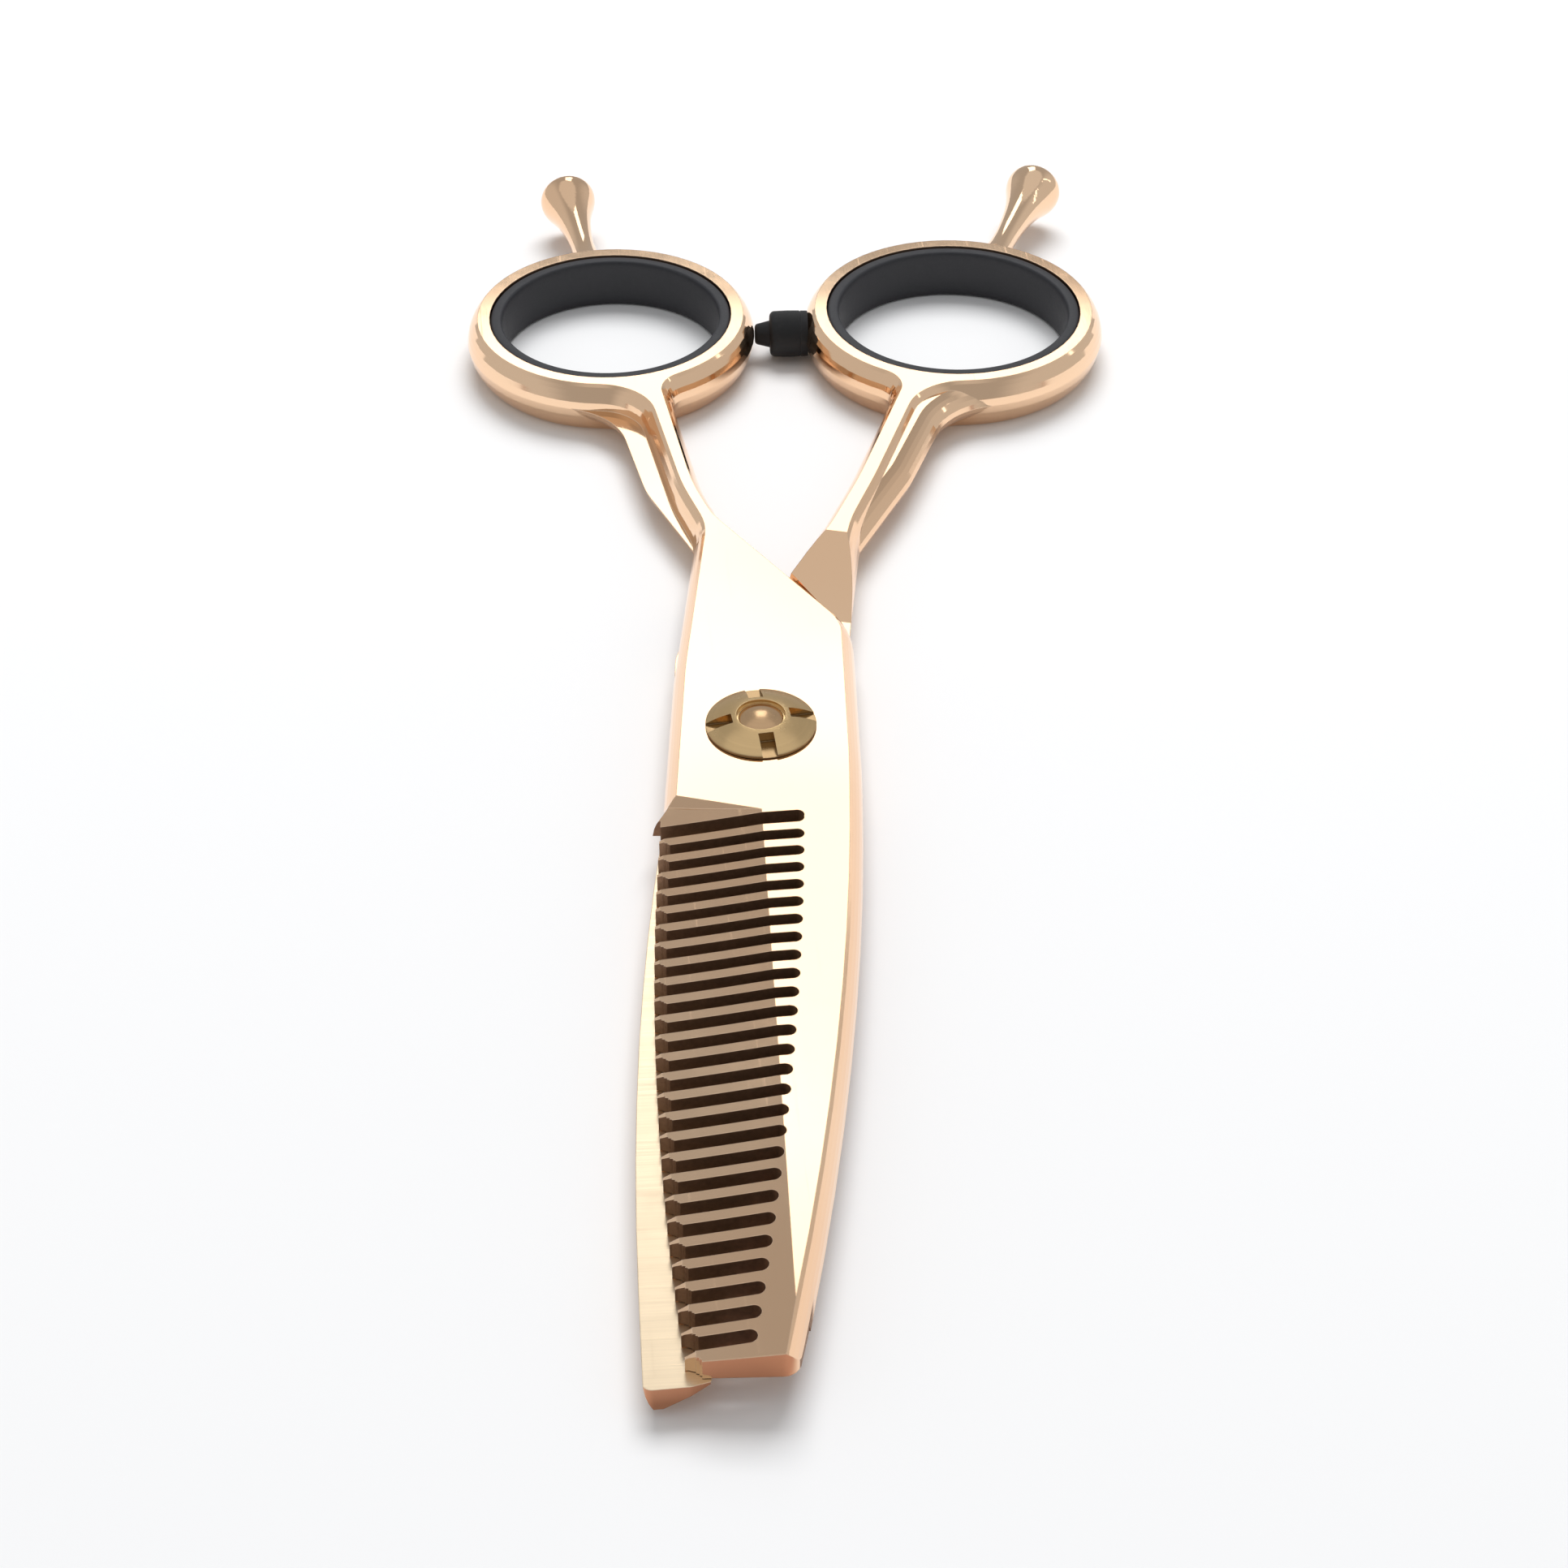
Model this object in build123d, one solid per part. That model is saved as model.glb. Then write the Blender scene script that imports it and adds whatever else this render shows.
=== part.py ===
"""Hair thinning shears: a toothed upper half and a plain lower half on one adjustable pivot.

Frame: the pivot axis is the Z axis and the surface that the shears lie on is z = 0.
The blade tips point along -Y, the finger rings lie towards +Y. All sizes are in millimetres.
"""
from build123d import *
import os
from math import cos, hypot, radians, sin, sqrt, tan

os.makedirs("parts", exist_ok=True)

# ---------------------------------------------------------------- driving dimensions
blade_reach = 61.7          # pivot axis to the end of the blades' polished lands
plain_thickness = 2.6       # plain blade at the pivot
toothed_thickness = 2.2     # toothed blade at the pivot
ride_gap = 0.05             # play between the blades, taken up by the friction washer

ring_reach = 62.4           # pivot axis to the ring centres, along Y
toothed_ring_x = -14.4      # ring centres, across
plain_ring_x = 17.6
plain_ring_ahead = 1.2      # the plain half's ring sits a little further back
toothed_ring_bore = 11.25   # radius of the steel ring bores
plain_ring_bore = 11.85
ring_wall = 2.15            # steel round the bore at its widest level
insert_wall = 1.25          # rubber liner
insert_fit = 0.02
insert_lip = 0.12           # the liner stands this far inside the ring's two faces
insert_round = 0.45
liner_rib = 0.45            # rib on the liner, held in a groove of the bore
liner_rib_height = 1.4

# The flanks swell outwards from the lands to the middle level: (share of height, draft in degrees).
flank_steps = ((0.3, 10.0), (0.22, 19.0), (0.2, 28.0), (0.16, 36.0), (0.12, 44.0))
# A broad rounded shoulder lies along the outer side of each shank, below the land.
shoulder_steps = ((0.2, 18.0), (0.17, 34.0), (0.14, 47.0), (0.11, 57.0), (0.07, 65.0), (0.04, 71.0))
shoulder_width = 2.2        # how far the shoulder stands out beyond the flank
shoulder_rise = 2.25          # the upper shoulders stop at this height on a thicker blade
shoulder_web = 7.0          # fillet between shoulder and ring
outer_web = 5.5             # fillets between shank and ring at the level of the land
inner_web = 3.0
shank_into_ring = 8.6       # the shank edges end this far in front of the ring centre's level
scoop_start_y = 17.6        # each shank steps over the other half along a scooped face
scoop_end_y = 27.3
scoop_turn = -12.0
heel_clearance = 0.5
tip_lift = 0.85             # the plain blade's underside rises this much towards the tip
tip_lift_start_y = -15.2
edge_thickness = 0.1        # of the plain blade at its cutting edge
edge_bevel_width = 4.2
edge_bevel_runout = 8.0

slot_count = 27
slot_pitch = 1.882
slot_width = 1.06
slot_angle = 6.3            # slots lean this far from square across the blade
slot_length = 14.0
first_slot = (3.28, -11.05)  # root of the first slot
first_slot_extra = 0.3      # the first slot is this much wider, towards the heel
slot_root_curve = 0.0046    # roots follow a parabola towards the spine
hollow_radius = 200.0        # shallow concave grind over the teeth
hollow_width = 7.2
hollow_start = (-6.24, -8.6)
hollow_start_turn = -13.6
hollow_start_slope = 45.0
hollow_line = ((0.3, -13.2), (2.7, -61.2))
tooth_tip_thickness = 1.45
tooth_edge = ((-7.4, -10.7), (-4.56, -60.0))
tooth_edge_bulge = 1.0
nib_length = 0.5            # nib at the back of each tooth's end, ground down at a slope
nib_slope = 32.0
notch_step = 0.2            # each of the two notches in front of the nib

stud_radius = 2.2           # bearing part of the pivot stud
bush_wall = 0.85
running_fit = 0.03          # radial play of everything that turns on the stud
thread_radius = 1.7
stud_head_radius = 3.7
stud_head_height = 1.0
stud_key_width = 3.6
washer_radius = 5.4
washer_thickness = 0.3
washer_proud = 0.03
spring_recess_radius = 3.7
spring_recess_depth = 0.95
spring_thickness = 0.22
spring_ring_width = 0.9
thrust_washer_thickness = 0.35
stack_play = 0.04
dial_radius = 4.28
dial_gap = 0.05             # dial above the toothed blade
dial_rim_height = 0.2
dial_crown = 1.0
dial_dome_radius = 2.7      # inside this radius the dome is nearly flat
dial_edge_round = 0.1
dial_slot_width = 1.17
dial_slot_angle = 10.0
dial_slot_floor = 0.08
dial_eye_radius = 1.9       # edge of the recess round the stud end
dial_slot_start = 2.25      # the four slots stop at this radius
dial_eye_depth = 0.3
stud_end_proud = 0.12       # crown of the stud end above the dial
stud_end_dome = 0.42        # height of the stud end's dome
lock_ring_wall = 0.35
lock_ring_height = 0.3

bumper_radius = 2.15
bumper_nose_length = 1.4
bumper_nose_base = 1.25
bumper_nose_radius = 0.9
bumper_clearance = 0.03
bumper_round = 0.35
bumper_stud_radius = 0.9
bumper_stud_length = 3.2
seat_depth = 0.35           # flat seats for bumper and finger rests in the ring walls
seat_play = 0.12

toothed_rest_length = 13.0
plain_rest_length = 14.4
rest_root_radius = 1.4
rest_neck_radius = 1.15
rest_bulb_radius = 2.65
toothed_rest_lean = 12.5    # finger rests point rearwards and lean outwards
plain_rest_lean = 20.0
rest_tilt = 3.0             # finger rests rise towards their ends
rest_stud_radius = 1.0
rest_stud_depth = 1.25

# ---------------------------------------------------------------- worked out from them
plain_face_z = plain_thickness
toothed_face_z = plain_face_z + ride_gap
top_z = toothed_face_z + toothed_thickness
axis_z = 0.5 * top_z        # bumper and finger rests screw in at this level
toothed_ring_radius = toothed_ring_bore + ring_wall
shank_end_y = ring_reach - shank_into_ring
plain_ring_radius = plain_ring_bore + ring_wall
toothed_ring_centre = (toothed_ring_x, ring_reach)
plain_ring_centre = (plain_ring_x, ring_reach + plain_ring_ahead)
bush_radius = stud_radius + running_fit + bush_wall
lock_ring_radius = thread_radius + running_fit + lock_ring_wall
flare = sum(share * toothed_thickness * tan(radians(draft)) for share, draft in flank_steps)
large = 200.0


def save(name, shape):
    """One sub-part, one file."""
    export_step(shape, "parts/" + name + ".step")


def swell(face, height, direction, steps=flank_steps):
    """A slab that narrows from its widest face to its land, in drafted steps."""
    body = None
    for share, draft in steps:
        step = extrude(face, amount=share * height, dir=(0, 0, direction), taper=draft)
        body = step if body is None else body + step
        face = step.faces().sort_by(Axis.Z)[-1 if direction > 0 else 0]
    return body


def prism(points, low, high):
    """A straight prism over a closed outline, between two levels."""
    outline = make_face(Polyline(*points, close=True))
    return Pos(0, 0, low) * extrude(outline, amount=high - low)


def root_web(start, toward, centre, reach, radius, inside):
    """The web between a shank edge and its ring: a fillet tangent to both."""
    length = hypot(toward[0] - start[0], toward[1] - start[1])
    dx, dy = (toward[0] - start[0]) / length, (toward[1] - start[1]) / length
    nx, ny = -dy, dx
    if (inside[0] - start[0]) * nx + (inside[1] - start[1]) * ny > 0:
        nx, ny = -nx, -ny
    ax, ay = start[0] + radius * nx - centre[0], start[1] + radius * ny - centre[1]
    along = ax * dx + ay * dy
    travel = -along - sqrt(along**2 - (ax**2 + ay**2 - (reach + radius) ** 2))
    middle = (start[0] + radius * nx + travel * dx, start[1] + radius * ny + travel * dy)
    on_edge = (start[0] + travel * dx, start[1] + travel * dy)
    share = reach / (reach + radius)
    on_ring = (centre[0] + (middle[0] - centre[0]) * share, centre[1] + (middle[1] - centre[1]) * share)
    hx, hy = (on_edge[0] + on_ring[0]) / 2 - middle[0], (on_edge[1] + on_ring[1]) / 2 - middle[1]
    half = hypot(hx, hy)
    crown = (middle[0] + hx * radius / half, middle[1] + hy * radius / half)
    return make_face([ThreePointArc(on_edge, crown, on_ring), Line(on_ring, inside), Line(inside, on_edge)])


def land(corners, centre, ring_radius, outer, inner):
    """Polished land of one half: blade, heel and shank outline, its ring and the two webs."""
    blade = make_face(FilletPolyline(*[c[:2] for c in corners], radius=[c[2] for c in corners], close=True))
    reach = ring_radius - flare
    inside = ((outer[1][0] + inner[1][0]) / 2, centre[1] - reach + 1.2)
    shape = blade + Pos(*centre) * Circle(reach)
    shape += root_web(outer[0], outer[1], centre, reach, outer_web, inside)
    shape += root_web(inner[0], inner[1], centre, reach, inner_web, inside)
    return shape


def cylinder_between(start, end, radius):
    """A round bar from one point to another."""
    axis = Vector(*end) - Vector(*start)
    return Plane(origin=start, z_dir=axis) * extrude(Circle(radius), amount=axis.length)


# ---------------------------------------------------------------- outlines of the two halves
# (x, y, corner radius) clockwise from the heel corner, at the level of the polished land;
# the blades run past their tips here and are cut to length by the tip cuts
toothed_corners = (
    (6.35, 13.7, 5.0),
    (6.72, -3.2, 60.0),
    (6.65, -0.5 * blade_reach - 1.6, 330.0),
    (1.42, -blade_reach - 3.0, 0.5),
    (-5.3, -blade_reach - 4.0, 0.5),
    (-8.6, -0.5 * blade_reach - 5.1, 200.0),
    (-8.1, -13.4, 3.0),
    (-6.3, -9.3, 3.0),
    (-6.0, 7.8, 60.0),
    (-4.75, 27.6, 8.0),
    (-7.0, 33.8, 30.0),
    (-11.5, shank_end_y, 0.0),
    (-10.2, shank_end_y, 0.0),
    (-6.1, 33.8, 30.0),
    (-4.3, 29.1, 8.0),
)
plain_corners = (
    (-5.95, 13.4, 5.0),
    (-5.9, -5.0, 60.0),
    (-8.0, -0.5 * blade_reach - 2.6, 300.0),
    (-5.65, -blade_reach - 4.0, 0.3),
    (-4.2, -blade_reach - 3.7, 0.3),
    (6.1, -6.2, 25.0),
    (6.1, 14.8, 30.0),
    (7.2, 27.8, 20.0),
    (9.6, 35.1, 60.0),
    (15.0, shank_end_y, 0.0),
    (13.6, shank_end_y, 0.0),
    (8.3, 35.1, 60.0),
    (5.9, 28.2, 25.0),
    (2.2, 19.7, 12.0),
)
# (x, y, corner radius) of the upright cut through each tip, from the left
toothed_tip_cut = (
    (-30.0, -blade_reach - 1.5, 0.0),
    (2.7, -blade_reach - 0.62, 1.2),
    (3.35, -blade_reach + 3.0, 0.0),
    (30.0, -blade_reach + 3.0, 0.0),
)
plain_tip_cut = (
    (-30.0, -blade_reach - 0.4, 0.0),
    (-7.7, -blade_reach - 0.4, 0.4),
    (-6.6, -blade_reach - 1.7, 0.7),
    (-3.9, -blade_reach - 1.4, 0.0),
    (-2.7, -blade_reach - 1.0, 0.0),
    (30.0, -blade_reach - 0.6, 0.0),
)
toothed_outer, toothed_inner = toothed_corners[10:12], toothed_corners[13:11:-1]
plain_outer, plain_inner = plain_corners[8:10], plain_corners[11:9:-1]
toothed_land = land(toothed_corners, toothed_ring_centre, toothed_ring_radius, toothed_outer, toothed_inner)
plain_land = land(plain_corners, plain_ring_centre, plain_ring_radius, plain_outer, plain_inner)
toothed_middle = offset(toothed_land, flare)
plain_middle = offset(plain_land, flare)


def shoulder(corners, outer, inner, centre, ring_radius, side):
    """Outline of a shank's broad shoulder at the middle level, with its web to the ring."""
    neck, bend, end = corners[outer - 1], corners[outer], corners[outer + 1]
    inner_bend, inner_end = corners[inner], corners[inner - 1]
    wide = side * (flare + shoulder_width)
    shape = make_face(FilletPolyline(
        (neck[0] + side * 0.6 * flare, neck[1] - 2.0),
        (bend[0] + wide, bend[1] + 2.0),
        (end[0] + wide, end[1]),
        (centre[0], centre[1]),
        (inner_end[0] - side * 0.8 * flare, inner_end[1]),
        (inner_bend[0] - side * 0.8 * flare, inner_bend[1]),
        radius=[0.0, 12.0, 0.0, 0.0, 0.0, 6.0], close=True))
    ring = Pos(*centre) * Circle(ring_radius)
    line = (bend[0] + wide, bend[1] + 2.0), (end[0] + wide, end[1])
    inside = (0.5 * (end[0] + inner_end[0]), centre[1] - ring_radius + 2.0)
    return shape + ring + root_web(*line, centre, ring_radius, shoulder_web, inside)


toothed_shoulder = shoulder(toothed_corners, 10, 13, toothed_ring_centre, toothed_ring_radius, -1)
plain_shoulder = shoulder(plain_corners, 8, 11, plain_ring_centre, plain_ring_radius, 1)


def tip_cut(points):
    """Everything beyond a blade's tip, with its rounded corners."""
    outline = tuple(points) + ((30.0, -large, 0.0), (-30.0, -large, 0.0))
    face = make_face(FilletPolyline(*[c[:2] for c in outline], radius=[c[2] for c in outline], close=True))
    return extrude(face, amount=large, both=True)


# ---------------------------------------------------------------- shared cutters
def blade_side(corner, neck, low, high):
    """Everything on the blade side of one half's heel line, plus the clearance round it."""
    length = hypot(neck[0] - corner[0], neck[1] - corner[1])
    tx, ty = (neck[0] - corner[0]) / length, (neck[1] - corner[1]) / length
    nx, ny = (ty, -tx) if tx < 0 else (-ty, tx)
    gap = flare + heel_clearance
    first = (corner[0] - tx * large + nx * gap, corner[1] - ty * large + ny * gap)
    last = (neck[0] + tx * large + nx * gap, neck[1] + ty * large + ny * gap)
    return prism((first, last, (last[0], -large), (first[0], -large)), low, high)


def scoop(rise):
    """Everything on the blade side of a slope that climbs this high along the shank."""
    run = scoop_end_y - scoop_start_y
    below, above = 1.0, 5.0
    profile = (
        (scoop_start_y - large, rise + above),
        (scoop_start_y - large, -below),
        (scoop_start_y - below * run / rise, -below),
        (scoop_end_y + above * run / rise, rise + above),
    )
    return extrude(Plane.YZ * make_face(Polyline(*profile, close=True)), amount=large, both=True)


def ring_bore(centre, radius):
    """The bore through a ring with its liner groove."""
    bore = Pos(centre[0], centre[1], axis_z) * Cylinder(radius, 4 * top_z)
    groove = Pos(centre[0], centre[1], axis_z) * Cylinder(radius + liner_rib, liner_rib_height)
    return bore + groove


def liner(centre, radius):
    """Rubber finger-ring liner with rounded lips and its retaining rib."""
    outside = radius - insert_fit
    height = top_z - 2 * insert_lip
    body = Cylinder(outside, height) - Cylinder(radius - insert_wall, height)
    body = fillet(body.edges().filter_by(GeomType.CIRCLE).group_by(SortBy.RADIUS)[0], insert_round)
    rib = Cylinder(outside + liner_rib, liner_rib_height - 2 * insert_fit)
    rib -= Cylinder(outside - 0.2, liner_rib_height)
    return Pos(centre[0], centre[1], axis_z) * (body + rib)


def rest_axis(lean):
    """Direction of a finger rest that leans this far from straight rearwards."""
    flat = cos(radians(rest_tilt))
    return (sin(radians(lean)) * flat, cos(radians(lean)) * flat, sin(radians(rest_tilt)))


def along(centre, direction, distance):
    """A point at a distance from a ring's centre, at the screw level."""
    return tuple(c + distance * d for c, d in zip((centre[0], centre[1], axis_z), direction))


def seat(centre, direction, ring_radius, seat_radius, hole_radius):
    """Flat seat and stud hole in a ring's outer wall."""
    face = ring_radius - seat_depth
    outside = along(centre, direction, face + 3.0)
    cut = cylinder_between(along(centre, direction, face), outside, seat_radius)
    hole = cylinder_between(along(centre, direction, face - rest_stud_depth), outside, hole_radius)
    return cut + hole


def finger_rest(centre, ring_radius, direction, length):
    """A turned finger rest: threaded root, slim neck, flared trumpet end with a shallow dome."""
    profile = Spline(
        (rest_root_radius, 0.0),
        (rest_neck_radius, 0.2 * length),
        (1.17 * rest_neck_radius, 0.45 * length),
        (0.82 * rest_bulb_radius, 0.75 * length),
        (rest_bulb_radius, 0.93 * length),
        (0.0, length),
        tangents=((-0.15, 1.0), (-1.0, 0.0)),
    )
    half = make_face([
        profile,
        Line((0.0, length), (0.0, 0.0)),
        Line((0.0, 0.0), (rest_root_radius, 0.0)),
    ])
    turned = revolve(Plane.XZ * half, Axis.Z)
    stud = Pos(0, 0, -rest_stud_depth) * extrude(Circle(rest_stud_radius), amount=rest_stud_depth)
    face = ring_radius - seat_depth
    return Plane(origin=along(centre, direction, face), z_dir=direction) * (turned + stud)


toothed_rest_axis = rest_axis(-toothed_rest_lean)
plain_rest_axis = rest_axis(plain_rest_lean)
bumper_line = Vector(*toothed_ring_centre) - Vector(*plain_ring_centre)
ring_distance = bumper_line.length
bumper_axis = (bumper_line.X / ring_distance, bumper_line.Y / ring_distance, 0.0)


# ---------------------------------------------------------------- toothed half
def tooth_edge_x(y):
    """Left edge of the comb: a shallow arc through its two ends."""
    (x0, y0), (x1, y1) = tooth_edge
    t = (y - y0) / (y1 - y0)
    return x0 + (x1 - x0) * t - 4 * tooth_edge_bulge * t * (1 - t)


def comb_edge_cut():
    """Everything to the left of the comb's edge, so that the teeth end upright at full height."""
    start_y, end_y = tooth_edge[0][1], -blade_reach - 4.0
    first, middle, last = ((tooth_edge_x(y), y) for y in (start_y, 0.5 * (start_y + end_y), end_y))
    outline = make_face([
        ThreePointArc(first, middle, last),
        Line(last, (-large, end_y)),
        Line((-large, end_y), (-large, start_y)),
        Line((-large, start_y), first),
    ])
    return extrude(outline, amount=large, both=True)


def slot_root(index):
    """Where the slot with this index ends at its root."""
    x = first_slot[0] - slot_root_curve * index**2
    drop = index * slot_pitch / cos(radians(slot_angle))
    return x, first_slot[1] - drop + (x - first_slot[0]) * tan(radians(slot_angle))


def comb_cutters():
    """All slots, and the cuts that leave a sloping nib and two notches at each tooth's end."""
    slots, barbs = [], []
    cut_height = toothed_thickness + 2.0
    base = toothed_face_z - 1.0
    slot = Pos(-0.5 * slot_length, 0) * Rectangle(slot_length - slot_width, slot_width)
    slot += Pos(-0.5 * slot_width, 0) * Circle(0.5 * slot_width)
    tooth = slot_pitch - slot_width
    turn = radians(slot_angle)
    for index in range(slot_count):
        x, y = slot_root(index)
        slots.append(Pos(x, y, base) * Rot(0, 0, slot_angle) * extrude(slot, amount=cut_height))
        if index == 0:
            wider = Pos(x, y + first_slot_extra, base) * Rot(0, 0, slot_angle)
            slots.append(wider * extrude(slot, amount=cut_height))
        front = (index + 1) * slot_pitch / cos(turn) - 0.5 * slot_width / cos(turn)
        x_tip = tooth_edge_x(first_slot[1] - front - 2.0)
        y_tip = first_slot[1] - front + (x_tip - first_slot[0]) * tan(turn)
        steps = (
            (-1.5, -0.2),
            (-1.5, 0.74 * tooth),
            (0.0, 0.74 * tooth),
            (nib_length, 0.48 * tooth),
            (nib_length - 0.3 * notch_step, 0.38 * tooth),
            (nib_length + notch_step, 0.28 * tooth),
            (nib_length + 0.7 * notch_step, 0.16 * tooth),
            (nib_length + 1.6 * notch_step, 0.08 * tooth),
            (nib_length + 1.4 * notch_step, -0.2),
        )
        turned = Pos(x_tip, y_tip, base) * Rot(0, 0, slot_angle)
        barbs.append(turned * extrude(make_face(Polyline(*steps, close=True)), amount=cut_height))
        slope = Pos(-cut_height / 2, 0.5 * tooth, cut_height / 2) * Box(cut_height, 1.6 * tooth, cut_height)
        nib_z = tooth_tip_thickness + toothed_face_z - base
        barbs.append(turned * Pos(nib_length, 0, nib_z) * Rot(0, -nib_slope, 0) * slope)
    return slots + barbs


def hollow_grind():
    """Concave grind: a long cylinder that meets the land along one line and thins the tooth ends."""
    (x0, y0), (x1, y1) = hollow_line
    heading = Vector(x1 - x0, y1 - y0, 0).normalized()
    left = Vector(heading.Y, -heading.X, 0)
    if left.X > 0:
        left = left * -1
    drop = toothed_thickness - tooth_tip_thickness
    chord = hypot(hollow_width, drop)
    rise = sqrt(hollow_radius**2 - (chord / 2) ** 2)
    s = hollow_width / 2 + rise * drop / chord
    z = top_z - drop / 2 + rise * hollow_width / chord
    start = Vector(x0, y0, z) + left * s - heading * 40.0
    end = Vector(x0, y0, z) + left * s + heading * 90.0
    wheel = cylinder_between(tuple(start), tuple(end), hollow_radius)
    block = Pos(0, -0.5 * large, 0) * Box(large, large, large)
    block = Pos(*hollow_start, top_z) * Rot(0, 0, hollow_start_turn) * Rot(-hollow_start_slope, 0, 0) * block
    return wheel & block


def make_toothed_half():
    """Toothed blade, shank and ring in one piece."""
    middle = Pos(0, 0, toothed_face_z)
    upper = middle * swell(toothed_middle, toothed_thickness, 1)
    upper += middle * swell(toothed_shoulder, min(toothed_thickness, shoulder_rise), 1, shoulder_steps)
    lower = middle * swell(toothed_middle, toothed_face_z, -1)
    lower += middle * swell(toothed_shoulder, toothed_face_z, -1, shoulder_steps)
    plain_heel = blade_side(plain_corners[0][:2], plain_corners[-1][:2], -1.0, toothed_face_z)
    neck_side = blade_side(plain_corners[-1][:2], plain_corners[-2][:2], -1.0, toothed_face_z)
    lower = lower - plain_heel - neck_side
    lower -= middle * Rot(0, 180, 0) * Rot(0, 0, scoop_turn) * scoop(toothed_face_z)
    body = upper + lower
    body -= tip_cut(toothed_tip_cut)
    body -= comb_edge_cut()
    body -= hollow_grind()
    body -= comb_cutters()
    body -= ring_bore(toothed_ring_centre, toothed_ring_bore)
    body -= Pos(0, 0, toothed_face_z + 0.5 * toothed_thickness) * Cylinder(bush_radius, 2 * toothed_thickness)
    body -= Pos(0, 0, top_z) * Cylinder(spring_recess_radius, 2 * spring_recess_depth)
    body -= seat(toothed_ring_centre, toothed_rest_axis, toothed_ring_radius,
                 rest_root_radius + seat_play, rest_stud_radius)
    return body


# ---------------------------------------------------------------- plain half
def edge_bevel():
    """Wedge under the cutting edge of the plain blade, running out before the pivot."""
    heel = Vector(plain_corners[5][0] + flare, plain_corners[5][1], 0)
    tip = Vector(plain_corners[4][0] + flare, plain_corners[4][1] - flare, 0)
    heading = (tip - heel).normalized()
    across = Vector(heading.Y, -heading.X, 0)
    if across.X > 0:
        across = across * -1
    top = plain_face_z - edge_thickness

    def profile(place, width):
        plane = Plane(origin=tuple(place), x_dir=tuple(across), z_dir=tuple(heading))
        up = 1.0 if plane.y_dir.Z > 0 else -1.0
        fall = top * width / edge_bevel_width
        outside, below = -2.5, -up * 1.0
        points = (
            (outside, up * top), (0.0, up * top), (width, up * (top - fall)), (width, below),
            (outside, below),
        )
        return plane * make_face(Polyline(*points, close=True))

    begin = profile(heel - heading * 1.0, 0.05)
    full = profile(heel + heading * edge_bevel_runout, edge_bevel_width)
    end = profile(tip + heading * 6.0, edge_bevel_width)
    return loft([begin, full], ruled=True) + loft([full, end], ruled=True)


def make_plain_half():
    """Plain blade, shank and ring in one piece."""
    middle = Pos(0, 0, plain_face_z)
    rise = top_z - plain_face_z
    lower = middle * swell(plain_middle, plain_thickness, -1)
    lower += middle * swell(plain_shoulder, plain_thickness, -1, shoulder_steps)
    upper = middle * swell(plain_middle, rise, 1)
    upper += middle * swell(plain_shoulder, min(rise, shoulder_rise), 1, shoulder_steps)
    upper -= blade_side(toothed_corners[0][:2], toothed_corners[-1][:2], plain_face_z, top_z + 1.0)
    upper -= middle * Rot(0, 0, scoop_turn) * scoop(rise)
    body = lower + upper
    body -= tip_cut(plain_tip_cut)
    end_y = -blade_reach - 8.0
    lift = ((tip_lift_start_y, 0.0), (end_y, tip_lift), (end_y, -2.0), (tip_lift_start_y, -2.0))
    body -= extrude(Plane.YZ * make_face(Polyline(*lift, close=True)), amount=large, both=True)
    body -= edge_bevel()
    body -= ring_bore(plain_ring_centre, plain_ring_bore)
    body -= extrude(Rectangle(stud_key_width, stud_key_width), amount=large)
    body -= Cylinder(stud_head_radius, 2 * stud_head_height)
    body -= Pos(0, 0, plain_face_z) * Cylinder(washer_radius, 2 * (washer_thickness - washer_proud))
    body -= seat(plain_ring_centre, plain_rest_axis, plain_ring_radius,
                 rest_root_radius + seat_play, rest_stud_radius)
    body -= seat(plain_ring_centre, bumper_axis, plain_ring_radius,
                 bumper_radius + seat_play, bumper_stud_radius)
    return body


# ---------------------------------------------------------------- pivot stack
def make_pivot_stud():
    """Flush head, square key, bearing shoulder, thread and a domed end."""
    shoulder_top = top_z - spring_recess_depth
    end = top_z + dial_gap + dial_crown + stud_end_proud
    stud = extrude(Circle(stud_head_radius), amount=stud_head_height)
    key_top = plain_face_z - washer_thickness + washer_proud
    key = extrude(Rectangle(stud_key_width, stud_key_width), amount=key_top - stud_head_height)
    stud += Pos(0, 0, stud_head_height) * key
    stud += Pos(0, 0, key_top) * extrude(Circle(stud_radius), amount=shoulder_top - key_top)
    thread = extrude(Circle(thread_radius), amount=end - shoulder_top)
    dome_radius = 0.5 * (thread_radius**2 + stud_end_dome**2) / stud_end_dome
    thread = Pos(0, 0, shoulder_top) * thread & Pos(0, 0, end - dome_radius) * Sphere(dome_radius)
    return stud + thread


def ring_part(outer, inner, height, level):
    """A flat washer."""
    return Pos(0, 0, level) * extrude(Circle(outer) - Circle(inner), amount=height)


def make_wave_spring(level):
    """A washer pressed into waves, as arched segments end to end."""
    outer = spring_recess_radius - 0.2
    return ring_part(outer, outer - spring_ring_width, spring_thickness, level)


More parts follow.
